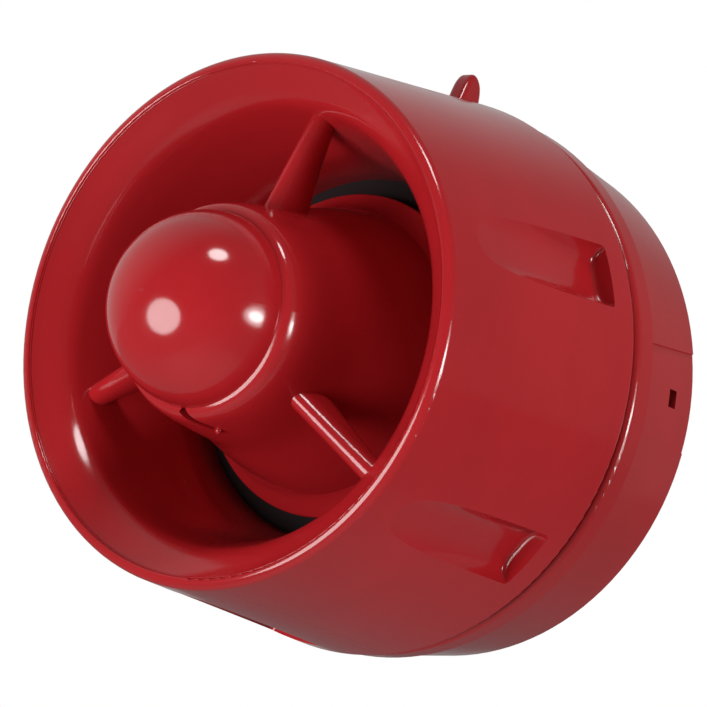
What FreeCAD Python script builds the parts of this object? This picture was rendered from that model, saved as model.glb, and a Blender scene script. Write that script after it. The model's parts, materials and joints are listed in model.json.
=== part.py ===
"""Wall-mounted alarm siren: a flared horn head that twists onto a deep round base.

Frame: the back of the base is the plane y = 0, on the wall side, with the horn
axis through the origin. The horn faces -Y, +Z is up and +X is to the right of
someone looking at the horn. "Stand" means distance in front of the wall (-y).
"Angle" runs about the horn axis from +X towards +Z. All sizes are millimetres.
"""
import FreeCAD, Part
import math
import os

V = FreeCAD.Vector
ORIGIN = V(0, 0, 0)
FORWARD = V(0, -1, 0)
UP = V(0, 0, 1)
FIT = 0.3            # gap between pieces that move past each other
RUNNING = 0.05       # radial gap of a pin in its hole
ARC_MID = 1 - math.sqrt(0.5)     # a quarter-round's middle, as a share of its radius from each face

# ---- outer shape -------------------------------------------------------------
RIM_R = 52.5         # outside of the horn's front rim
RIM_STAND = 84.0     # front-most point of the rim
LIP_ROUND = 1.8
HEAD_R = 58.0        # widest point, at the rear edge of the head
HEAD_REAR = 29.2
SKIRT_WALL = 2.5
BASE_FRONT = 27.3
BASE_FRONT_R = 57.5
BASE_BACK_R = 54.5
BAND_BACK = 21.7       # rear edge of the base's plain front band
BAND_STEP = 0.5        # how far the body is set in behind that band
BASE_FLOOR = 2.5
GROOVE_ROUND = 0.9     # edge of the head along the groove between head and base
BASE_ROUND = 1.5       # edge of the base along it
SEAL_R = 55.7

# ---- horn --------------------------------------------------------------------
FLARE = [(50.1, 83.4), (47.3, 81.05), (44.9, 79.0),         # a wide cone that bends into a narrow one
         (43.5, 77.1), (42.6, 74.9), (41.7, 72.3), (40.6, 68.6),
         (39.2, 63.4), (37.8, 56.0), (37.2, 48.0)]
FLARE_WALL = 2.2
SEAM_REAR = 79.6     # where the flare's edge leaves the inside of the lip
SEAM_GRIP = 82.2     # in front of this the lip stands clear of the flare's edge
SEAM_RELIEF = 0.08
THROAT_STAND = 43.5  # front of the throat plate, where the flare ends
FLANGE_R = 49.0
FLANGE_THICK = 2.5
BOSS_CIRCLE = 45.0
BOSS_R = 3.2
DOME_R = 19.2
DOME_CENTRE = 89.2
DOME_WALL = 1.8
DOME_EDGE = 91.0
DOME_EDGE_R = math.sqrt(DOME_R ** 2 - (DOME_EDGE - DOME_CENTRE) ** 2)
SPIGOT_R = 17.35
CORE_OUTER = [(20.4, 90.3), (21.2, 88.8), (21.8, 86.4), (22.4, 82.8), (23.0, 78.5),     # shoulder and neck
              (24.0, 71.6), (26.3, 63.5), (28.2, 56.5), (29.2, 52.2)]
CORE_LIP = [(30.6, 50.0), (32.8, 48.4)]      # the skirt's rear edge turns out in a lip
CORE_INNER = [(28.6, 49.2), (27.2, 52.4), (26.2, 56.5), (24.3, 63.2), (22.0, 71.0), (20.4, 80.0)]
SPOKE_COUNT = 3
SPOKE_SECTIONS = [(20.6, 75.6, 12.4, 5.8), (32.0, 74.0, 8.6, 5.0), (44.5, 71.6, 5.2, 4.6)]
# each section's distance from the axis, stand, length along the axis and thickness
HEAD_CLOCK = 19.4    # angle of the first recess; the spokes line up with every other one
RECESS_COUNT = 6
RECESS_WIDTH = 13.0
RECESS_END = 35.4
RECESS_DEPTH = 4.0
RECESS_SECTION = [(0.5, 0.05), (0.76, 0.25), (0.92, 0.6), (1.0, 1.0)]   # half width and height shares
RECESS_ROOT = 0.9      # radius between the scoop's floor and its rear wall
RECESS_FRONT = 79.0
RECESS_FRONT_R = 53.2  # floor radius there, just outside the skirt

# ---- parts inside the head -----------------------------------------------------
CHASSIS_BACK = 15.0
CHASSIS_FRONT = 17.0
COLLAR_R = 53.7
COLLAR_BORE = 51.2
BOARD_BACK = 20.0
BOARD_FRONT = 21.6
BOARD_R = 40.0
POST_CIRCLE = 34.0
PLATE_BACK = 41.0    # rear face of the throat plate
EAR_CIRCLE = 24.5
SCREW_R = 1.25
LONG_SCREW_R = 1.5

# ---- bayonet, latch and wiring ---------------------------------------------------
LUG_ANGLES = (60, 180, 300)
LUG_SPAN = 18        # degrees
LUG_BACK = 7.5
HOOK_BACK = 10.1
HOOK_FRONT = 12.6
HOOK_R = 51.3
LATCH_X = 48.6
LATCH_STAND = 4.6
LATCH_PIN_R = 1.2
TERMINAL_COUNT = 4
TERMINAL_PITCH = 8.0
CONTACT_STAND = 11.0
FIXING_SPACING = 51.0
FIXING_SLOT = 10.0
FIXING_WIDTH = 4.6
ENTRY_R = 10.0
SWITCH_COUNT = 6
SWITCH_PITCH = 2.54

parts = {}


# ---- helpers ---------------------------------------------------------------------
def place(radius, stand, angle=0.0):
    """A point given by its distance from the horn axis, stand and angle."""
    turn = math.radians(angle)
    return V(radius * math.cos(turn), -stand, radius * math.sin(turn))


def outline(start, *steps):
    """A closed face in the radius/stand plane.

    A step is a point for a straight edge, a pair of points for an arc through the
    first to the second, or a list of points for one smooth curve.
    """
    here = place(*start)
    edges = []
    for step in steps:
        if isinstance(step, list):
            through = [here] + [place(*p) for p in step]
            curve = Part.BSplineCurve()
            curve.interpolate(through)
            edges.append(curve.toShape())
            here = through[-1]
        elif isinstance(step[0], tuple):
            end = place(*step[1])
            edges.append(Part.Arc(here, place(*step[0]), end).toShape())
            here = end
        else:
            end = place(*step)
            edges.append(Part.makeLine(here, end))
            here = end
    first = place(*start)
    if here.distanceToPoint(first) > 1e-6:
        edges.append(Part.makeLine(here, first))
    return Part.Face(Part.Wire(edges))


def turn(shape, angle):
    """A copy of the shape turned about the horn axis."""
    copy = shape.copy()
    copy.rotate(ORIGIN, FORWARD, angle)
    return copy


def on_sphere(centre_stand, radius, reach):
    """Stand of the front of a sphere centred on the horn axis, at a distance from it."""
    return centre_stand + math.sqrt(radius ** 2 - reach ** 2)


def round_middle(corner, size, stand_way):
    """The middle of a quarter-round at an outer corner; stand_way is where its body lies."""
    radius, stand = corner
    return radius - ARC_MID * size, stand + stand_way * ARC_MID * size


def spin(face, angle=360.0, start=0.0):
    """The solid swept by an outline about the horn axis."""
    return turn(face.revolve(ORIGIN, FORWARD, angle), start)


def band(inner, outer, back, front, angle=360.0, start=0.0):
    """A ring, or a sector of one, with a rectangular section."""
    return spin(outline((inner, back), (outer, back), (outer, front), (inner, front)), angle, start)


def rod(radius, back, front, x=0.0, z=0.0):
    """A cylinder parallel to the horn axis."""
    return Part.makeCylinder(radius, front - back, V(x, -back, z), FORWARD)


def rod_at(radius, back, front, circle, angle):
    """A cylinder parallel to the horn axis, on a circle about it."""
    centre = place(circle, 0, angle)
    return rod(radius, back, front, centre.x, centre.z)


def block(x0, x1, back, front, z0, z1):
    """A box between two stands."""
    return Part.makeBox(x1 - x0, front - back, z1 - z0, V(x0, -front, z0))


def around(count, first):
    """Evenly spaced angles."""
    return [first + k * 360.0 / count for k in range(count)]


def joined(shapes):
    """One solid made of overlapping shapes."""
    first = shapes[0]
    return first.fuse(shapes[1:]).removeSplitter() if len(shapes) > 1 else first


def group(shapes):
    """Separate solids kept in one node."""
    return Part.makeCompound(shapes)


def pan_screw(head_r, shank_r, seat, tip, head_height, circle, angle):
    """A screw whose head is on the wall side of its seat and whose shank points forward."""
    head = rod_at(head_r, seat - head_height, seat, circle, angle)
    rim = [e for e in head.Edges if abs(e.BoundBox.YMin + seat - head_height) < 1e-3 and e.Length > 1]
    head = head.makeFillet(min(0.6, head_height * 0.4), [rim[0]])
    shank = rod_at(shank_r, seat - 0.2, tip, circle, angle)
    centre = place(circle, 0, angle)
    cross = joined([block(-head_r * 0.6, head_r * 0.6, 0, 0.8, -0.35, 0.35),
                    block(-0.35, 0.35, 0, 0.8, -head_r * 0.6, head_r * 0.6)])
    cross.translate(V(centre.x, -(seat - head_height) + 0.01, centre.z))
    return joined([head, shank]).cut(cross)


# ---- horn housing ------------------------------------------------------------------
def skirt_radius(stand):
    """Outside radius of the conical skirt."""
    lip_start = RIM_STAND - LIP_ROUND
    return HEAD_R + (RIM_R - HEAD_R) * (stand - HEAD_REAR) / (lip_start - HEAD_REAR)


def recess_backing():
    """Thickens the skirt behind one recess, at angle 0."""
    wall = 2.2
    floor_rear = skirt_radius(RECESS_END) - RECESS_DEPTH - wall
    floor_front = RECESS_FRONT_R - wall
    rear = RECESS_END - wall
    half = RECESS_WIDTH / 2 + 2.0
    corners = [V(floor_rear, -rear, -half), V(floor_front, -RECESS_FRONT, -half),
               V(HEAD_R + 4, -RECESS_FRONT, -half), V(HEAD_R + 4, -rear, -half)]
    face = Part.Face(Part.makePolygon(corners + [corners[0]]))
    return face.extrude(V(0, 0, 2 * half))


def recess_slice(stand, floor, edge):
    """One end of the scoop: a nearly flat floor that sweeps up into two sides, open outward."""
    half = RECESS_WIDTH / 2
    top = HEAD_R + 4
    side = [(share * half, floor + rise * (edge - floor)) for share, rise in RECESS_SECTION]
    across = [(-z, height) for z, height in reversed(side)] + [(0, floor)] + side
    curve = Part.BSplineCurve()
    curve.interpolate([V(height, -stand, z) for z, height in across])
    rest = Part.makePolygon([V(edge, -stand, half), V(top, -stand, half),
                             V(top, -stand, -half), V(edge, -stand, -half)])
    return Part.Wire([curve.toShape()] + rest.Edges)


def recess_cut():
    """The scooped recess at angle 0: it runs out in front and ends in a flat rear wall."""
    outside = skirt_radius(RECESS_END)
    edge = math.sqrt(outside ** 2 - (RECESS_WIDTH / 2) ** 2)
    slices = [recess_slice(RECESS_END, outside - RECESS_DEPTH, edge),
              recess_slice(RECESS_FRONT, RECESS_FRONT_R, RECESS_FRONT_R + 0.1)]
    scoop = Part.makeLoft(slices, True, True)
    rear = [e for e in scoop.Edges if e.BoundBox.YMin > -RECESS_END - 1e-3]
    root = [e for e in rear if e.BoundBox.XMin < outside - 1 and e.BoundBox.ZLength > RECESS_WIDTH / 2]
    return scoop.makeFillet(RECESS_ROOT, root)


def flare_edge(offset):
    """Points of the flare's inner surface, moved outward along their normals."""
    moved = []
    for k, (radius, stand) in enumerate(FLARE):
        before = FLARE[max(k - 1, 0)]
        after = FLARE[min(k + 1, len(FLARE) - 1)]
        along = V(after[0] - before[0], after[1] - before[1], 0).normalize()
        moved.append((radius - along.y * offset, stand + along.x * offset))
    return moved


def make_housing():
    """The outer skirt of the head with its front lip and scooped recesses."""
    clear_r = FLARE[0][0] + SEAM_RELIEF
    shell = spin(outline(
        (RIM_R, RIM_STAND - LIP_ROUND),
        (round_middle((RIM_R, RIM_STAND), LIP_ROUND, -1), (RIM_R - LIP_ROUND, RIM_STAND)),
        ((clear_r + 0.12, FLARE[0][1] + 0.45), (clear_r, FLARE[0][1])),
        (clear_r, SEAM_GRIP),
        (FLARE[0][0], SEAM_GRIP),
        (FLARE[0][0], SEAM_REAR),
        (HEAD_R - SKIRT_WALL, HEAD_REAR),
        (HEAD_R - GROOVE_ROUND, HEAD_REAR),
        (round_middle((HEAD_R, HEAD_REAR), GROOVE_ROUND, 1), (HEAD_R, HEAD_REAR + GROOVE_ROUND))))
    top = RIM_STAND - 8
    inside_skirt = spin(outline(
        (FLANGE_R - 2, top), (skirt_radius(top) - 1, top),
        (HEAD_R - 1, HEAD_REAR), (FLANGE_R - 2, HEAD_REAR)))
    backing = recess_backing().common(inside_skirt)
    cut = recess_cut()
    angles = around(RECESS_COUNT, HEAD_CLOCK)
    return shell.fuse([turn(backing, a) for a in angles]).cut([turn(cut, a) for a in angles])


def make_flare():
    """The horn's flared wall, pressed into the lip, and the flange it is screwed down by."""
    back_of_flare = flare_edge(FLARE_WALL)[1:]
    tail_r = FLARE[-1][0]
    wall = spin(outline(
        FLARE[0],
        FLARE[1:],
        (tail_r, THROAT_STAND),
        (FLANGE_R, THROAT_STAND),
        (FLANGE_R, THROAT_STAND + FLANGE_THICK),
        (tail_r + FLARE_WALL, THROAT_STAND + FLANGE_THICK),
        back_of_flare[-1],
        list(reversed(back_of_flare[:-1])),
        (FLARE[0][0], SEAM_REAR)))
    bosses = []
    holes = []
    for k, angle in enumerate(around(6, HEAD_CLOCK + 30)):
        bosses.append(rod_at(BOSS_R, THROAT_STAND + 1, THROAT_STAND + 9.5, BOSS_CIRCLE, angle))
        hole_r = LONG_SCREW_R if k % 2 == 0 else SCREW_R
        holes.append(rod_at(hole_r, THROAT_STAND - 1, THROAT_STAND + 8, BOSS_CIRCLE, angle))
    return wall.fuse(bosses).cut(holes)


# ---- horn core: trumpet-shaped skirt on three spokes ---------------------------------
def spoke(angle):
    """A streamlined arm from the core to the flare, wider at its root."""
    sections = []
    for radius, stand, chord, thick in SPOKE_SECTIONS:
        oval = Part.Ellipse(V(0, 0, 0), chord / 2, thick / 2)
        edge = oval.toShape()
        edge.rotate(ORIGIN, V(0, 0, 1), 90)
        edge.rotate(ORIGIN, V(0, 1, 0), 90)
        edge.translate(V(radius, -stand, 0))
        sections.append(Part.Wire([edge]))
    return turn(Part.makeLoft(sections, True, False), angle)


def pry_slot():
    """A slanted slot across the core's shoulder, for prising the dome off, and the nub at its end."""
    width = 1.7
    depth = 1.9
    start = place(19.7, 91.2, -93.5)
    end = place(22.3, 85.0, -83.0)
    along = (end - start).normalize()
    outward = place(0.8, 0.6, -88.2)
    outward = (outward - along * outward.dot(along)).normalize()
    slot = Part.makeBox((end - start).Length, width, depth + 2, V(0, -width / 2, -depth))
    slot.Placement = FreeCAD.Placement(start, FreeCAD.Rotation(along, outward.cross(along), outward, "XYZ"))
    return slot, Part.makeSphere(0.75, end + along * 0.6 - outward * 0.3)


def make_core():
    skirt = spin(outline(
        (SPIGOT_R + 0.1, DOME_EDGE),
        (DOME_EDGE_R + 0.1, DOME_EDGE),
        CORE_OUTER,
        CORE_LIP,
        ((33.0, 47.7), (32.2, 47.2)),
        (30.8, 47.2),
        CORE_INNER,
        (19.4, 83.0),
        (SPIGOT_R + 0.1, 83.0)))
    seat = 1.3           # how far the spoke ends sit into the flare's wall
    reach = flare_edge(seat)
    inside_flare = spin(outline(
        (0, 40), (reach[-1][0], 40), reach[-1], list(reversed(reach[:-1])), (0, reach[0][1])))
    root = 0.7           # how far into the skirt's wall the spokes start
    bore = [(radius + root, stand) for radius, stand in CORE_INNER]
    hollow = spin(outline((0, 40), (bore[0][0], 40), bore[0], bore[1:], (0, bore[-1][1])))
    arms = []
    for angle in around(SPOKE_COUNT, HEAD_CLOCK + 60):
        arms.append(spoke(angle).common(inside_flare).cut(hollow))
    slot, nub = pry_slot()
    return skirt.fuse(arms + [nub]).removeSplitter().cut(slot)


def make_dome():
    inner = DOME_R - DOME_WALL
    spigot_bore = SPIGOT_R - 1.55
    meet = math.asin(spigot_bore / inner)
    mid = meet / 2
    half_arc = math.acos((DOME_EDGE - DOME_CENTRE) / DOME_R) / 2
    return spin(outline(
        (0, DOME_CENTRE + DOME_R),
        ((DOME_R * math.sin(half_arc), DOME_CENTRE + DOME_R * math.cos(half_arc)), (DOME_EDGE_R, DOME_EDGE)),
        (SPIGOT_R, DOME_EDGE),
        (SPIGOT_R, 84.6),
        (spigot_bore, 84.6),
        (spigot_bore, DOME_CENTRE + inner * math.cos(meet)),
        ((inner * math.sin(mid), DOME_CENTRE + inner * math.cos(mid)), (0, DOME_CENTRE + inner))))


def make_throat_plate():
    """Closes the flare from behind and carries the sound tube into the dome."""
    bore = 5.0
    plate = spin(outline(
        (bore, PLATE_BACK),
        (FLANGE_R, PLATE_BACK),
        (FLANGE_R, THROAT_STAND),
        (33.0, THROAT_STAND),
        [(22.0, 45.2), (12.0, 50.0), (7.4, 60.0), (7.0, 70.0)],
        (7.0, 83.0),
        ((6.2, 83.8), (5.4, 83.0)),
        (bore, 60.0)))
    holes = [rod_at(LONG_SCREW_R if k % 2 == 0 else SCREW_R, PLATE_BACK - 1, THROAT_STAND + 1, BOSS_CIRCLE, a)
             for k, a in enumerate(around(6, HEAD_CLOCK + 30))]
    holes += [rod_at(SCREW_R, PLATE_BACK - 1, PLATE_BACK + 4.5, EAR_CIRCLE, a) for a in around(3, 30)]
    return plate.cut(holes)


# ---- sound driver ------------------------------------------------------------------
DRIVER_BACK = 24.0
MAGNET_BACK = 26.4
TOP_PLATE_BACK = 31.0
FRAME_SEAT = 33.4
FRAME_FRONT = 40.2
POLE_R = 6.2
COIL_R = (6.55, 7.05)
DIAPHRAGM_STAND = 35.6


def make_driver():
    parts["driver_gasket"] = band(16.0, 21.5, FRAME_FRONT, PLATE_BACK)
    frame = spin(outline((18.3, TOP_PLATE_BACK + 0.1), (21.5, TOP_PLATE_BACK + 0.1), (21.5, FRAME_FRONT),
                         (16.8, FRAME_FRONT), (16.8, FRAME_SEAT), (18.3, FRAME_SEAT)))
    ears = []
    for angle in around(3, 30):
        ear = joined([rod_at(3.2, 37.5, FRAME_FRONT, EAR_CIRCLE, angle),
                      turn(block(20.5, EAR_CIRCLE, 37.5, FRAME_FRONT, -3.2, 3.2), angle)])
        ears.append(ear.cut(rod(20.0, 30, 45)))
    holes = [rod_at(SCREW_R, 30, 45, EAR_CIRCLE, a) for a in around(3, 30)]
    parts["driver_frame"] = joined([frame] + ears).cut(holes)
    parts["driver_top_plate"] = band(7.5, 18.2, TOP_PLATE_BACK, FRAME_SEAT)
    parts["driver_magnet"] = band(9.5, 20.0, MAGNET_BACK, TOP_PLATE_BACK)
    parts["driver_back_plate"] = joined([rod(19.0, DRIVER_BACK, MAGNET_BACK),
                                         rod(POLE_R, MAGNET_BACK - 1, 33.8)])
    film = 0.3
    low = DIAPHRAGM_STAND
    high = DIAPHRAGM_STAND + film
    dome_rise = 2.5
    dome_r = (6.9 ** 2 + dome_rise ** 2) / (2 * dome_rise)
    dome_centre = high + dome_rise - dome_r
    inner_foot = (6.5, on_sphere(dome_centre, dome_r - film, 6.5))
    parts["diaphragm"] = spin(outline(
        (0, high + dome_rise),
        ((3.5, on_sphere(dome_centre, dome_r, 3.5)), (6.9, high)), (7.4, high),
        ((11.4, high + 1.1), (15.4, high)),
        (16.4, high), (16.4, low), (15.3, low), ((11.4, low + 1.1), (7.5, low)), (6.5, low), inner_foot,
        ((3.3, on_sphere(dome_centre, dome_r - film, 3.3)), (0, high + dome_rise - film))))
    parts["voice_coil"] = band(COIL_R[0], COIL_R[1], 29.5, low)
    parts["driver_screws"] = group([pan_screw(2.4, SCREW_R, 37.5, THROAT_STAND + 1.5, 1.6, EAR_CIRCLE, a)
                                    for a in around(3, 30)])
    leads = [rod(0.6, BOARD_FRONT, TOP_PLATE_BACK + 0.1, x, -20.8) for x in (-3.0, 3.0)]
    parts["driver_leads"] = group(leads)


# ---- rear chassis of the head --------------------------------------------------------
def make_chassis():
    body = spin(outline((0, CHASSIS_BACK), (53.2, CHASSIS_BACK), (COLLAR_R, 18.5), (COLLAR_R, HEAD_REAR),
                        (55.2, HEAD_REAR), (55.2, 31.0), (COLLAR_BORE, 31.0), (COLLAR_BORE, CHASSIS_FRONT),
                        (0, CHASSIS_FRONT)))
    added = []
    for angle in LUG_ANGLES:
        added.append(band(49.0, 51.0, LUG_BACK, CHASSIS_BACK + 1, LUG_SPAN, angle - LUG_SPAN / 2))
        added.append(band(49.0, 52.7, LUG_BACK, HOOK_BACK - 0.15, LUG_SPAN, angle - LUG_SPAN / 2))
    for angle in around(3, HEAD_CLOCK + 30):
        added.append(rod_at(BOSS_R, CHASSIS_BACK + 1, PLATE_BACK, BOSS_CIRCLE, angle))
    for angle in around(3, 90):
        added.append(rod_at(3.0, CHASSIS_BACK + 1, BOARD_BACK, POST_CIRCLE, angle))
    cuts = [rod_at(LONG_SCREW_R, 0, 60, BOSS_CIRCLE, a) for a in around(3, HEAD_CLOCK + 30)]
    cuts += [rod_at(SCREW_R, CHASSIS_FRONT - 1.5, 30, POST_CIRCLE, a) for a in around(3, 90)]
    x0, x1, z0, z1 = switch_box()
    cuts.append(block(x0 - FIT, x1 + FIT, 10, 18, z0 - FIT, z1 + FIT))
    cuts.append(rod(6.0, 10, 18, VOLUME_X, VOLUME_Z))
    for x in terminal_xs():
        cuts.append(block(x - 2.0, x + 2.0, 10, 18, 28.0, 32.4))
    return body.fuse(added).removeSplitter().cut(cuts)


# ---- circuit board and its parts -------------------------------------------------------
VOLUME_X = 14.0
VOLUME_Z = -24.0
VOLUME_R = 2.2
SWITCH_X = -17.0
SWITCH_Z = -23.5
SWITCH_BACK = 14.4
SLIDER_TRAVEL = 1.2


def switch_box():
    """Outline of the switch bank: lowest and highest x, lowest and highest z."""
    half = (SWITCH_COUNT * SWITCH_PITCH + 1.6) / 2
    return SWITCH_X - half, SWITCH_X + half, SWITCH_Z - 3.3, SWITCH_Z + 3.3


def switch_xs():
    first = SWITCH_X - (SWITCH_COUNT - 1) * SWITCH_PITCH / 2
    return [first + k * SWITCH_PITCH for k in range(SWITCH_COUNT)]


def terminal_xs():
    first = -(TERMINAL_COUNT - 1) * TERMINAL_PITCH / 2
    return [first + k * TERMINAL_PITCH for k in range(TERMINAL_COUNT)]


def make_board():
    board = rod(BOARD_R, BOARD_BACK, BOARD_FRONT)
    board = board.cut([rod_at(SCREW_R, 19, 23, POST_CIRCLE, a) for a in around(3, 90)])
    parts["circuit_board"] = board
    parts["board_screws"] = group([
        rod_at(2.3, BOARD_FRONT, BOARD_FRONT + 1.5, POST_CIRCLE, a).fuse(
            rod_at(SCREW_R, CHASSIS_FRONT - 1.4, BOARD_FRONT, POST_CIRCLE, a)).removeSplitter()
        for a in around(3, 90)])

    x0, x1, z0, z1 = switch_box()
    body = block(x0, x1, SWITCH_BACK, BOARD_BACK, z0, z1)
    slots = [block(x - 0.8, x + 0.8, SWITCH_BACK - 1, SWITCH_BACK + 1.2, SWITCH_Z - 1.4, SWITCH_Z + 1.4)
             for x in switch_xs()]
    parts["switch_bank"] = body.cut(slots)
    for number, x in enumerate(switch_xs(), start=1):
        parts["switch_slider_%d" % number] = block(x - 0.7, x + 0.7, SWITCH_BACK - 0.3, SWITCH_BACK + 1.1,
                                                   SWITCH_Z - 1.3, SWITCH_Z - 1.3 + 1.4)

    body = block(VOLUME_X - 4.1, VOLUME_X + 4.1, SWITCH_BACK, BOARD_BACK, VOLUME_Z - 4.1, VOLUME_Z + 4.1)
    well = rod(VOLUME_R + RUNNING, SWITCH_BACK - 1, SWITCH_BACK + 3, VOLUME_X, VOLUME_Z)
    parts["volume_control"] = body.cut(well)
    rotor = rod(VOLUME_R, SWITCH_BACK - 0.2, SWITCH_BACK + 2.9, VOLUME_X, VOLUME_Z)
    pointer = block(VOLUME_X - 0.35, VOLUME_X + 0.35, SWITCH_BACK - 1, SWITCH_BACK + 0.8,
                    VOLUME_Z - 1.7, VOLUME_Z + VOLUME_R + 1)
    parts["volume_rotor"] = rotor.cut(pointer)

    cans = ((5.0, 13.0, 195), (4.0, 11.5, 220), (4.0, 11.5, 245))      # radius, height, angle
    parts["capacitors"] = group([rod_at(radius, BOARD_FRONT, BOARD_FRONT + height, 31.0, angle)
                                 for radius, height, angle in cans])
    parts["transformer_core"] = joined([
        rod_at(6.5, BOARD_FRONT, BOARD_FRONT + 1.5, 30.0, 150),
        rod_at(3.0, BOARD_FRONT, BOARD_FRONT + 11.0, 30.0, 150),
        rod_at(6.5, BOARD_FRONT + 9.5, BOARD_FRONT + 11.0, 30.0, 150)])
    parts["transformer_winding"] = rod_at(5.8, BOARD_FRONT + 1.5, BOARD_FRONT + 9.5, 30.0, 150).cut(
        rod_at(3.0, BOARD_FRONT, BOARD_FRONT + 12, 30.0, 150))
    parts["control_chips"] = group([block(x - 4.0, x + 4.0, BOARD_FRONT, BOARD_FRONT + 1.6, -3.0, 3.0)
                                    for x in (-8.0, 8.0)])
    parts["power_transistors"] = group([block(28.0, 30.5, BOARD_FRONT, BOARD_FRONT + 11.0, z - 3.2, z + 3.2)
                                        for z in (-6.0, 6.0)])
    blades = []
    for x in terminal_xs():
        pad = block(x - 1.5, x + 1.5, CONTACT_STAND + 0.15, CONTACT_STAND + 0.85, 28.6, 32.0)
        stem = block(x - 1.5, x + 1.5, CONTACT_STAND + 0.15, BOARD_BACK, 28.6, 29.3)
        blades.append(joined([pad, stem]))
    parts["contact_blades"] = group(blades)


# ---- mounting base ---------------------------------------------------------------------
def base_radius(stand):
    """Outside radius of the tapered base behind its front band."""
    return BASE_BACK_R + (BASE_FRONT_R - BAND_STEP - BASE_BACK_R) * stand / BAND_BACK


LUG_PROFILE = [(22.0, 55.0), (21.8, 57.4), (20.0, 62.4), (18.3, 65.6),
               (16.5, 66.9), (14.7, 65.9), (13.7, 62.0), (13.2, 55.0)]      # stand and height


def make_release_lug():
    """The finger lug on top of the base: sloped front, rounded crown, steep rear."""
    half = 2.1
    points = [V(-half, -stand, height) for stand, height in LUG_PROFILE]
    curve = Part.BSplineCurve()
    curve.interpolate(points)
    edges = [curve.toShape(), Part.makeLine(points[-1], points[0])]
    lug = Part.Face(Part.Wire(edges)).extrude(V(2 * half, 0, 0))
    long_edges = [e for e in lug.Edges if e.BoundBox.XLength < 1e-3 and e.Length > 12]
    return lug.makeFillet(1.2, long_edges)


def make_base():
    shell = spin(outline(
        (0, 0), (BASE_BACK_R - 0.6, 0), (BASE_BACK_R, 0.6),
        (base_radius(BAND_BACK) - 0.02, BAND_BACK - 0.5),
        (BASE_FRONT_R, BAND_BACK),
        (BASE_FRONT_R, BASE_FRONT - BASE_ROUND),
        (round_middle((BASE_FRONT_R, BASE_FRONT), BASE_ROUND, -1), (BASE_FRONT_R - BASE_ROUND, BASE_FRONT)),
        (54.0, BASE_FRONT), (54.0, 18.0), (52.6, BASE_FLOOR), (0, BASE_FLOOR)))
    added = [make_release_lug().cut(rod(55.0, -1, 40))]
    for angle in LUG_ANGLES:
        added.append(band(HOOK_R, 54.0, HOOK_BACK, HOOK_FRONT, LUG_SPAN, angle - LUG_SPAN / 2))
    added.append(band(ENTRY_R, ENTRY_R + 2.0, 0, 5.0))
    for side in (-1, 1):
        middle = side * 6.2
        added.append(block(LATCH_X - 2.2, LATCH_X + 2.2, BASE_FLOOR - 1, LATCH_STAND + 2.4,
                           middle - 1.0, middle + 1.0))
    panel_depth = 0.5
    panel_front = BAND_BACK - 0.5
    panel_ring = spin(outline(
        (base_radius(-1) - panel_depth, -1), (base_radius(panel_front) - panel_depth, panel_front),
        (HEAD_R + 3, panel_front), (HEAD_R + 3, -1)))
    corners = [V(30, 1, 10.85), V(30, -panel_front, 8.95), V(30, -panel_front, -9.6), V(30, 1, -9.65)]
    panel = Part.Face(Part.makePolygon(corners + [corners[0]])).extrude(V(35, 0, 0)).common(panel_ring)
    slot_stand = 9.0
    cuts = [panel, block(50.0, 60.0, slot_stand - 1.6, slot_stand + 1.6, -1.8, 1.8),
            rod(ENTRY_R, -1, 8),
            band(46.0, 51.0, -1, 1.2),
            Part.makeCylinder(LATCH_PIN_R + RUNNING, 20, V(LATCH_X, -LATCH_STAND, -10), UP)]
    for side in (-1, 1):
        reach = (FIXING_SLOT - FIXING_WIDTH) / 2
        centre = side * FIXING_SPACING / 2
        cuts.append(block(centre - reach, centre + reach, -1, 4, -FIXING_WIDTH / 2, FIXING_WIDTH / 2))
        for end in (-reach, reach):
            cuts.append(rod(FIXING_WIDTH / 2, -1, 4, centre + end, 0))
        cuts.append(rod(SCREW_R, 1.2, 4, side * EAR_X, BLOCK_Z))
    return shell.fuse(added).removeSplitter().cut(cuts)


def make_latch():
    """The locking finger behind the release slot, rocking on two trunnions."""
    pin = Part.makeCylinder(LATCH_PIN_R, 14.4, V(LATCH_X, -LATCH_STAND, -7.2), UP)
    root = Part.makeCylinder(1.8, 9.6, V(LATCH_X, -LATCH_STAND, -4.8), UP)
    finger = block(LATCH_X - 0.2, LATCH_X + 1.4, LATCH_STAND, 13.6, -4.5, 4.5)
    nose_face = Part.Face(Part.makePolygon([V(LATCH_X + 1, -11.0, -4.5), V(LATCH_X + 2.8, -13.0, -4.5),
                                            V(LATCH_X + 2.8, -13.6, -4.5), V(LATCH_X + 1, -13.6, -4.5),
                                            V(LATCH_X + 1, -11.0, -4.5)]))
    return joined([pin, root, finger, nose_face.extrude(V(0, 0, 9.0))])


# ---- terminal block --------------------------------------------------------------------
BLOCK_Z = 19.5
EAR_X = 20.5
BLOCK_TOP = 10.4


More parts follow.
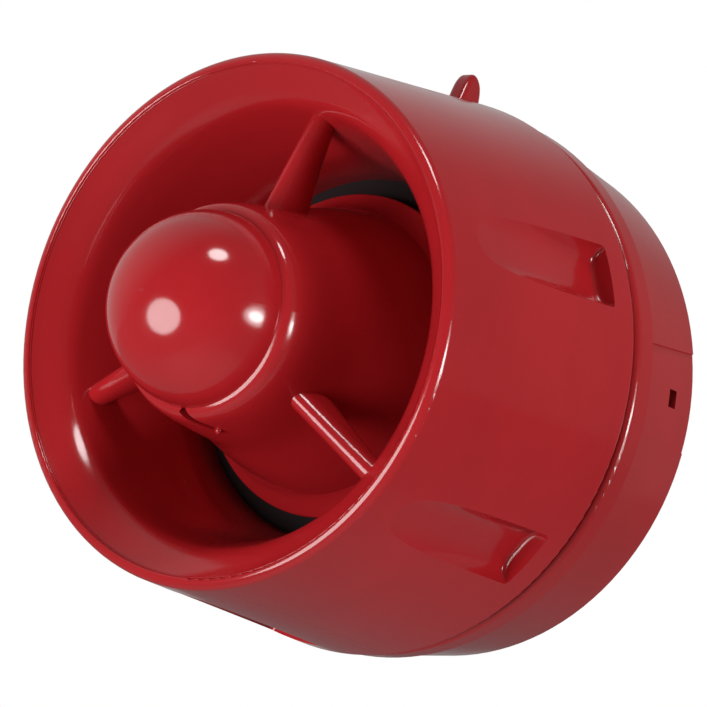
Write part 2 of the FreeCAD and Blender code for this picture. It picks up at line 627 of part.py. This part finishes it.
def make_terminals():
    body = joined([block(-17.0, 17.0, BASE_FLOOR, BLOCK_TOP, 14.0, 25.0),
                   block(-EAR_X - 3.0, EAR_X + 3.0, BASE_FLOOR, 6.5, BLOCK_Z - 3.5, BLOCK_Z + 3.5)])
    pockets = []
    clamps = []
    screws = []
    springs = []
    for x in terminal_xs():
        pocket = block(x - 2.4, x + 2.4, 4.2, 8.2, 16.4, 22.6)
        wire_way = Part.makeCylinder(1.5, 12.0, V(x, -6.0, 12.5), UP)
        access = rod(1.9, 7.0, BLOCK_TOP + 1, x, BLOCK_Z)
        thread = rod(1.3, 6.5, 9.0, x, BLOCK_Z)
        pockets += [pocket, wire_way, access]
        clamps.append(pocket.cut([wire_way, thread]))
        head = rod(1.8, 8.2, BLOCK_TOP - 0.3, x, BLOCK_Z)
        slot = block(x - 2.0, x + 2.0, BLOCK_TOP - 1.1, BLOCK_TOP, BLOCK_Z - 0.3, BLOCK_Z + 0.3)
        screws.append(joined([head, rod(1.3, 7.6, 8.4, x, BLOCK_Z)]).cut(slot))
        leg = block(x - 1.5, x + 1.5, 5.0, CONTACT_STAND, 25.0, 25.5)
        leaf = block(x - 1.5, x + 1.5, CONTACT_STAND - 0.5, CONTACT_STAND, 25.0, 32.0)
        springs.append(joined([leg, leaf]))
    ear_holes = [rod(SCREW_R, 0, 8, side * EAR_X, BLOCK_Z) for side in (-1, 1)]
    parts["terminal_block"] = body.cut(pockets + ear_holes)
    parts["terminal_clamps"] = group(clamps)
    parts["terminal_screws"] = group(screws)
    parts["contact_springs"] = group(springs)
    parts["block_screws"] = group([
        joined([rod(2.3, 6.5, 8.1, x, BLOCK_Z), rod(SCREW_R, 1.4, 6.6, x, BLOCK_Z)]) for x in (-EAR_X, EAR_X)])


# ---- assembly --------------------------------------------------------------------------
core = make_core()
parts["horn_housing"] = make_housing()
parts["horn_flare"] = make_flare().cut(core)
parts["horn_core"] = core
parts["dome_cap"] = make_dome()
parts["throat_plate"] = make_throat_plate()
parts["throat_screws"] = group([
    pan_screw(2.4, SCREW_R, PLATE_BACK, THROAT_STAND + 7.5, 1.6, BOSS_CIRCLE, angle)
    for angle in around(3, HEAD_CLOCK + 90)])
make_driver()
parts["rear_chassis"] = make_chassis()
parts["chassis_screws"] = group([
    pan_screw(2.8, LONG_SCREW_R, CHASSIS_BACK, THROAT_STAND + 7.5, 1.8, BOSS_CIRCLE, angle)
    for angle in around(3, HEAD_CLOCK + 30)])
parts["head_seal"] = band(COLLAR_R, SEAL_R, BASE_FRONT + 0.06, HEAD_REAR)
make_board()
parts["mounting_base"] = make_base()
parts["wall_gasket"] = band(46.0, 51.0, 0, 1.2)
parts["locking_latch"] = make_latch()
make_terminals()

os.makedirs("parts", exist_ok=True)
for name, shape in parts.items():
    solids = shape.Solids
    print("%-20s solids %d valid %s volume %.1f" % (name, len(solids), shape.isValid(), shape.Volume))
    (solids[0] if len(solids) == 1 else shape).exportStep("parts/%s.step" % name)
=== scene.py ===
"""Looks, light, floor and camera for a wall-mounted alarm siren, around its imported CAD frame.

Everything is in metres in the part's own frame: the back of the base is y = 0, the horn
faces -Y, +Z is up. Light directions are given as an azimuth, 0 straight out of the horn
and growing towards +X, and an elevation above the horizon.
"""

import json
import math

import bpy
from mathutils import Matrix, Vector


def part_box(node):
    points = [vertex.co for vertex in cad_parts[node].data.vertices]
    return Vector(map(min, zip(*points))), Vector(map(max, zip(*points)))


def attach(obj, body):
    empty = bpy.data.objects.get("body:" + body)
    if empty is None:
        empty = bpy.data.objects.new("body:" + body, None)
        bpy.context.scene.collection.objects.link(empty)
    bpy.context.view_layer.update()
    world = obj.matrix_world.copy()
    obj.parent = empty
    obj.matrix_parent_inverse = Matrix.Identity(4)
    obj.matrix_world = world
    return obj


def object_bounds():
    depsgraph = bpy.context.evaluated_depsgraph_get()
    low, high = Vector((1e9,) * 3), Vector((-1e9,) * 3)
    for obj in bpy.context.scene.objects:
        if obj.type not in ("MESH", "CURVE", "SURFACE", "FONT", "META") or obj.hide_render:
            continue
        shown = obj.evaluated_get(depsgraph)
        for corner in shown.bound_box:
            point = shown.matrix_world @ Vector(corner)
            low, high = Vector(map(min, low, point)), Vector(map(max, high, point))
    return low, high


MM = 0.001
SMOOTH_ANGLE = math.radians(32)

# ---- camera: where the eye is, and how the picture is turned about its line of sight ----
EYE = Vector((0.3659, -0.5143, -0.0895))
VIEW_RIGHT = Vector((0.7953, 0.5908, 0.1360))
VIEW_UP = Vector((-0.0173, -0.2020, 0.9792))
LENS = 152.7
SENSOR = 36.0
CLIP_NEAR = 0.01
CLIP_FAR = 50.0

# ---- weld bead between the lip and the flare ----------------------------------------------
BEAD_RADIUS = 0.16 * MM
BEAD_OFFSET = 0.04 * MM     # of its centre line outside the flare's edge
BEAD_STEPS = 240            # round the lip
BEAD_SIDES = 10

# ---- surroundings -----------------------------------------------------------------------
FLOOR_DROP = 0.75           # floor below the lowest point of the object
FLOOR_SIZE = 8.0
BACKGROUND = 1.0
FRONT_LIGHT = 0.09          # what the object sees of the room in front of it
REAR_LIGHT = 0.22           # and of the bright backdrop behind it
REAR_FADE = (-0.75, 1.0)    # where it starts and ends, as cosines of the angle from +Y
GLOW = 0.38                 # brightest part of the pale ceiling and wall at the left
GLOW_AZIMUTH = -100
GLOW_ELEVATION = 35
GLOW_FADE = (0.35, 0.95)    # where it starts and ends, as cosines of the angle from its middle
FLOOR_DARK = (0.46, 0.46, 0.47)
FLOOR_PALE = (0.50, 0.50, 0.51)

# ---- lamps: azimuth, elevation, distance, width and height as seen angles, radiance --------
LAMPS = {
    "key": (-11, -18, 0.8, 41, 36, 8.8),
    "high": (46, 58, 1.0, 18, 15, 15.0),
    "side": (98, -4, 0.9, 31, 19, 6.5),
    "side_core": (98, -4, 0.88, 19, 10, 21.0),
}

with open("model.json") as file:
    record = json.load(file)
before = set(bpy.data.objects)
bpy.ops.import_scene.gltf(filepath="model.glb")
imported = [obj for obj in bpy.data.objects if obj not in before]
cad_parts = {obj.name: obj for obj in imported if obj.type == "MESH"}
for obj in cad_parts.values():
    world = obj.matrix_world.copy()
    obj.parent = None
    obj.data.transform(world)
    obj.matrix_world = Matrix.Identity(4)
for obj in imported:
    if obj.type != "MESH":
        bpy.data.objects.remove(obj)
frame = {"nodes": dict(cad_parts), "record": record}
cad_low, cad_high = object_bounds()
nodes = frame["nodes"]
slot_of = {part["node"]: part["material_slot"] for part in frame["record"]["subparts"]}


# ---- materials ----------------------------------------------------------------------------
class Finish:
    """A material under construction: one Principled shader and the nodes that feed it."""

    def __init__(self, name, **sockets):
        self.material = bpy.data.materials.new(name)
        self.material.use_nodes = True
        self.tree = self.material.node_tree
        self.shader = self.tree.nodes["Principled BSDF"]
        self.space = self.node("ShaderNodeTexCoord").outputs["Object"]
        for socket, value in sockets.items():
            self.shader.inputs[socket.replace("_", " ")].default_value = value

    def node(self, kind, **settings):
        made = self.tree.nodes.new(kind)
        for name, value in settings.items():
            setattr(made, name, value)
        return made

    def link(self, source, target):
        self.tree.links.new(source, target)

    def stretched(self, scale):
        """Object coordinates scaled along each axis."""
        mapping = self.node("ShaderNodeMapping")
        mapping.inputs["Scale"].default_value = scale
        self.link(self.space, mapping.inputs["Vector"])
        return mapping.outputs["Vector"]

    def noise(self, scale, detail=3.0, roughness=0.5, space=None):
        made = self.node("ShaderNodeTexNoise")
        made.inputs["Scale"].default_value = scale
        made.inputs["Detail"].default_value = detail
        made.inputs["Roughness"].default_value = roughness
        self.link(space or self.space, made.inputs["Vector"])
        return made.outputs["Fac"]

    def cells(self, scale):
        made = self.node("ShaderNodeTexVoronoi")
        made.inputs["Scale"].default_value = scale
        self.link(self.space, made.inputs["Vector"])
        return made.outputs["Distance"]

    def spread(self, source, low, high, start=0.3, end=0.7):
        """The source's range start..end mapped to low..high."""
        made = self.node("ShaderNodeMapRange")
        for socket, value in (("From Min", start), ("From Max", end),
                              ("To Min", low), ("To Max", high)):
            made.inputs[socket].default_value = value
        self.link(source, made.inputs["Value"])
        return made.outputs["Result"]

    def blend(self, factor, dark, light):
        """A colour between two, where each is a colour or another node's output."""
        made = self.node("ShaderNodeMix", data_type="RGBA")
        self.link(factor, made.inputs["Factor"])
        for socket, colour in ((made.inputs[6], dark), (made.inputs[7], light)):
            if isinstance(colour, bpy.types.NodeSocket):
                self.link(colour, socket)
            else:
                socket.default_value = (*colour, 1.0)
        return made.outputs[2]

    def colour(self, source):
        self.link(source, self.shader.inputs["Base Color"])

    def roughness(self, source):
        self.link(source, self.shader.inputs["Roughness"])

    def bump(self, *layers):
        """Layers are (height source, height in metres, strength), finest last."""
        normal = None
        for source, height, strength in layers:
            made = self.node("ShaderNodeBump")
            made.inputs["Distance"].default_value = height
            made.inputs["Strength"].default_value = strength
            self.link(source, made.inputs["Height"])
            if normal is not None:
                self.link(normal, made.inputs["Normal"])
            normal = made.outputs["Normal"]
        self.link(normal, self.shader.inputs["Normal"])


def tinted(colour, factor):
    return tuple(min(1.0, channel * factor) for channel in colour)


def glossy_abs(name, colour, gloss):
    """Moulded gloss ABS: faint flow marks, a trace of orange peel, and fingerprints in the gloss."""
    made = Finish(name, IOR=1.52)
    flow = made.noise(22, detail=4, space=made.stretched((1, 2.2, 1)))
    fleck = made.noise(2600, detail=2)
    tone = made.blend(made.spread(flow, 0, 1), tinted(colour, 0.92), tinted(colour, 1.06))
    made.colour(made.blend(made.spread(fleck, 0, 0.18, 0.45, 0.75), tone, tinted(colour, 1.25)))
    smudge = made.noise(48, detail=6, roughness=0.62)
    made.roughness(made.spread(smudge, gloss, gloss + 0.09, 0.42, 0.72))
    made.bump((made.noise(240, detail=2), 0.06 * MM, 0.10),
              (made.noise(1900, detail=3), 0.01 * MM, 0.10))
    return made.material


def satin_plastic(name, colour, rough=0.42, shine=0.5):
    """Fine spark-eroded mould texture on an engineering plastic."""
    made = Finish(name, IOR=1.5, Specular_IOR_Level=shine)
    tone = made.noise(40, detail=4)
    made.colour(made.blend(made.spread(tone, 0, 1), tinted(colour, 0.9), tinted(colour, 1.1)))
    grain = made.noise(4200, detail=3, roughness=0.6)
    made.roughness(made.spread(grain, rough - 0.06, rough + 0.08))
    made.bump((grain, 0.02 * MM, 0.35))
    return made.material


def foam(name, colour, cell_scale=2400):
    """Closed-cell foam or moulded rubber, matte, with pores."""
    made = Finish(name, Roughness=0.9, IOR=1.45)
    pores = made.cells(cell_scale)
    dust = made.noise(90, detail=5)
    made.colour(made.blend(made.spread(dust, 0, 0.6), colour, tinted(colour, 1.9)))
    made.bump((pores, 0.12 * MM, 0.6))
    return made.material


def rolled_metal(name, colour, rough, grain=(1, 14, 1), scale=320):
    """Sheet or turned metal with fine directional marks and a cloudy plating."""
    made = Finish(name, Metallic=1.0)
    marks = made.noise(scale, detail=5, roughness=0.6, space=made.stretched(grain))
    cloud = made.noise(70, detail=3)
    made.colour(made.blend(made.spread(cloud, 0, 1), tinted(colour, 0.88), tinted(colour, 1.05)))
    made.roughness(made.spread(marks, rough - 0.08, rough + 0.12))
    made.bump((marks, 0.01 * MM, 0.3))
    return made.material


def sintered(name, colour):
    """Ground ferrite: dark, slightly speckled and dry."""
    made = Finish(name, IOR=1.9)
    speck = made.noise(1500, detail=4, roughness=0.7)
    made.colour(made.blend(made.spread(speck, 0, 1), tinted(colour, 0.7), tinted(colour, 1.5)))
    made.roughness(made.spread(speck, 0.5, 0.72))
    made.bump((speck, 0.03 * MM, 0.4))
    return made.material


def enamelled_wire(name, colour, turns=2600):
    """Windings: the turns show as fine ribs under a glossy enamel, with painted shade darkening the
    grooves between the turns.
    """
    made = Finish(name, Metallic=0.85)
    wave = made.node("ShaderNodeTexWave", bands_direction="Y")
    wave.inputs["Scale"].default_value = turns / (2 * math.pi)
    wave.inputs["Distortion"].default_value = 0.6
    made.link(made.space, wave.inputs["Vector"])
    ribs_and_groove_shade = wave.outputs["Fac"]
    # painted shade: the colour falls to half its brightness in the grooves between the turns
    made.colour(made.blend(ribs_and_groove_shade, tinted(colour, 0.5), colour))
    made.roughness(made.spread(ribs_and_groove_shade, 0.34, 0.22, 0, 1))
    made.bump((ribs_and_groove_shade, 0.05 * MM, 0.6))
    return made.material


def circuit_board(name, colour):
    """Green solder mask over copper tracks, which show as slightly raised paler lines."""
    made = Finish(name, IOR=1.5)
    tracks = made.node("ShaderNodeTexBrick", offset=0.5, squash=1.4)
    for socket, value in (("Scale", 150.0), ("Mortar Size", 0.06),
                          ("Mortar Smooth", 0.2), ("Bias", 0.0)):
        tracks.inputs[socket].default_value = value
    flat = made.node("ShaderNodeMapping")
    flat.inputs["Rotation"].default_value = (math.radians(90), 0, 0)
    made.link(made.space, flat.inputs["Vector"])
    made.link(flat.outputs["Vector"], tracks.inputs["Vector"])
    copper = tracks.outputs["Fac"]
    mottle = made.spread(made.noise(600, detail=3), 0, 0.5)
    mask = made.blend(mottle, tinted(colour, 0.85), tinted(colour, 1.15))
    made.colour(made.blend(copper, mask, tinted(colour, 1.9)))
    made.roughness(made.spread(made.noise(900), 0.22, 0.34))
    made.bump((copper, 0.035 * MM, 0.6))
    return made.material


def film(name, colour):
    """A thin amber diaphragm film that lets some light through."""
    made = Finish(name, IOR=1.6, Transmission_Weight=0.45)
    ripple = made.noise(300, detail=2)
    made.colour(made.blend(made.spread(ripple, 0, 1), tinted(colour, 0.85), tinted(colour, 1.15)))
    made.roughness(made.spread(ripple, 0.16, 0.3))
    made.bump((ripple, 0.02 * MM, 0.4))
    return made.material


def make_finishes():
    """One material for each of the record's slots."""
    return {
        "red_abs": glossy_abs("gloss_red_abs", (0.395, 0.0125, 0.0165), 0.10),
        "red_abs_base": glossy_abs("gloss_red_abs_base", (0.375, 0.0135, 0.0165), 0.14),
        "black_rubber": foam("black_rubber", (0.018, 0.018, 0.02), 5200),
        "foam_rubber": foam("foam_rubber", (0.03, 0.03, 0.032)),
        # black_plastic's near-black reddish colour is partly the part's own black and partly painted
        # shade, keeping the throat plate deep in the horn as dark as shade there
        "black_plastic": satin_plastic("black_plastic", (0.013, 0.006, 0.007), 0.6, shine=0.15),
        "natural_plastic": satin_plastic("natural_plastic", (0.62, 0.59, 0.52), 0.38),
        "blue_plastic": satin_plastic("blue_plastic", (0.03, 0.12, 0.42), 0.36),
        "white_plastic": satin_plastic("white_plastic", (0.78, 0.78, 0.75), 0.36),
        "green_terminal": satin_plastic("green_terminal", (0.04, 0.30, 0.11), 0.34),
        "board_green": circuit_board("board_green", (0.016, 0.15, 0.05)),
        "zinc_steel": rolled_metal("zinc_steel", (0.60, 0.61, 0.63), 0.30),
        "ferrite": sintered("ferrite", (0.05, 0.05, 0.055)),
        "brass": rolled_metal("brass", (0.78, 0.56, 0.22), 0.28),
        "copper_winding": enamelled_wire("copper_winding", (0.72, 0.31, 0.12)),
        "aluminium_can": rolled_metal("aluminium_can", (0.76, 0.77, 0.79), 0.26, grain=(1, 1, 9)),
        "diaphragm_film": film("diaphragm_film", (0.62, 0.42, 0.16)),
        "chip_black": satin_plastic("chip_black", (0.02, 0.02, 0.022), 0.5),
    }


# ---- CAD nodes ----------------------------------------------------------------------------
def finish_node(name, finishes):
    """Gives a CAD node its material and smooth shading that keeps its real edges sharp."""
    piece = nodes[name]
    piece.data.materials.clear()
    piece.data.materials.append(finishes[slot_of[name]])
    piece.data.shade_smooth()
    piece.data.set_sharp_from_angle(angle=SMOOTH_ANGLE)


# ---- piece too fine for the CAD -----------------------------------------------------------
def make_weld_bead(finishes):
    """A thin bead over the seam between the lip and the flare's front edge."""
    flare_low, flare_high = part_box("horn_flare")
    ring = flare_high.x + BEAD_OFFSET
    vertices = []
    for step in range(BEAD_STEPS):
        turn = 2 * math.pi * step / BEAD_STEPS
        for side in range(BEAD_SIDES):
            roll = 2 * math.pi * side / BEAD_SIDES
            reach = ring + BEAD_RADIUS * math.cos(roll)
            vertices.append((
                reach * math.cos(turn),
                flare_low.y + BEAD_RADIUS * math.sin(roll),
                reach * math.sin(turn)))
    faces = []
    for step in range(BEAD_STEPS):
        here, ahead = step * BEAD_SIDES, (step + 1) % BEAD_STEPS * BEAD_SIDES
        for side in range(BEAD_SIDES):
            beside = (side + 1) % BEAD_SIDES
            faces.append((here + side, here + beside, ahead + beside, ahead + side))
    mesh = bpy.data.meshes.new("lip_weld_bead")
    mesh.from_pydata(vertices, [], faces)
    mesh.shade_smooth()
    mesh.materials.append(finishes["red_abs"])
    bead = bpy.data.objects.new("lip_weld_bead", mesh)
    bpy.context.scene.collection.objects.link(bead)
    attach(bead, "head")


# ---- studio -------------------------------------------------------------------------------
def make_camera():
    data = bpy.data.cameras.new("camera")
    data.lens = LENS
    data.sensor_width = SENSOR
    data.clip_start = CLIP_NEAR
    data.clip_end = CLIP_FAR
    camera = bpy.data.objects.new("camera", data)
    right = VIEW_RIGHT.normalized()
    back = right.cross(VIEW_UP).normalized()
    up = back.cross(right)
    camera.matrix_world = Matrix.Translation(EYE) @ Matrix((right, up, back)).transposed().to_4x4()
    bpy.context.scene.collection.objects.link(camera)
    bpy.context.scene.camera = camera


def direction(azimuth, elevation):
    """The unit vector towards an azimuth and elevation, both in degrees."""
    turn, rise = math.radians(azimuth), math.radians(elevation)
    return Vector((
        math.sin(turn) * math.cos(rise),
        -math.cos(turn) * math.cos(rise),
        math.sin(rise)))


def softbox(name, azimuth, elevation, distance, width, height, radiance):
    """A round lamp aimed at the dome; its size is the angle it fills as seen from there."""
    size_x = 2 * distance * math.tan(math.radians(width) / 2)
    size_y = 2 * distance * math.tan(math.radians(height) / 2)
    data = bpy.data.lights.new(name, "AREA")
    data.shape = "ELLIPSE"
    data.size, data.size_y = size_x, size_y
    data.energy = radiance * math.pi * (math.pi / 4 * size_x * size_y)
    lamp = bpy.data.objects.new(name, data)
    dome_low, dome_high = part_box("dome_cap")
    towards = direction(azimuth, elevation)
    lamp.location = (dome_low + dome_high) / 2 + towards * distance
    lamp.rotation_mode = "QUATERNION"
    lamp.rotation_quaternion = towards.to_track_quat("Z", "Y")
    lamp.visible_camera = False
    bpy.context.scene.collection.objects.link(lamp)


def make_world():
    """White for the camera; for the light, dim in front and glowing at the upper left."""
    world = bpy.data.worlds.new("studio")
    world.use_nodes = True
    tree = world.node_tree
    towards = tree.nodes.new("ShaderNodeTexCoord").outputs["Generated"]

    def ramp(axis, fade, low, high):
        """Light that rises from low to high as the line of sight turns towards an axis."""
        along = tree.nodes.new("ShaderNodeVectorMath")
        along.operation = "DOT_PRODUCT"
        along.inputs[1].default_value = axis
        tree.links.new(towards, along.inputs[0])
        rise = tree.nodes.new("ShaderNodeMapRange")
        rise.interpolation_type = "SMOOTHSTEP"
        for socket, value in (("From Min", fade[0]), ("From Max", fade[1]),
                              ("To Min", low), ("To Max", high)):
            rise.inputs[socket].default_value = value
        tree.links.new(along.outputs["Value"], rise.inputs["Value"])
        return rise.outputs["Result"]

    total = tree.nodes.new("ShaderNodeMath")
    total.operation = "ADD"
    backdrop = ramp((0, 1, 0), REAR_FADE, FRONT_LIGHT, REAR_LIGHT)
    tree.links.new(backdrop, total.inputs[0])
    glow = ramp(direction(GLOW_AZIMUTH, GLOW_ELEVATION), GLOW_FADE, 0, GLOW)
    tree.links.new(glow, total.inputs[1])
    path = tree.nodes.new("ShaderNodeLightPath")
    level = tree.nodes.new("ShaderNodeMix")
    tree.links.new(path.outputs["Is Camera Ray"], level.inputs["Factor"])
    tree.links.new(total.outputs["Value"], level.inputs[2])
    level.inputs[3].default_value = BACKGROUND
    background = tree.nodes["Background"]
    background.inputs["Color"].default_value = (1, 1, 1, 1)
    tree.links.new(level.outputs[0], background.inputs["Strength"])
    bpy.context.scene.world = world


def make_floor():
    made = Finish("floor_paint", Roughness=0.6)
    tone = made.noise(3, detail=3)
    made.colour(made.blend(made.spread(tone, 0, 1), FLOOR_DARK, FLOOR_PALE))
    height = cad_low.z - FLOOR_DROP
    half = FLOOR_SIZE / 2
    mesh = bpy.data.meshes.new("floor")
    corners = [(-half, -half), (half, -half), (half, half), (-half, half)]
    mesh.from_pydata([(x, y, height) for x, y in corners], [], [(0, 1, 2, 3)])
    floor = bpy.data.objects.new("floor", mesh)
    mesh.materials.append(made.material)
    bpy.context.scene.collection.objects.link(floor)


make_camera()
make_world()
make_floor()
for name, lamp in LAMPS.items():
    softbox(name, *lamp)
finishes = make_finishes()
for name in nodes:
    finish_node(name, finishes)
make_weld_bead(finishes)
bpy.context.scene.view_settings.view_transform = "Standard"
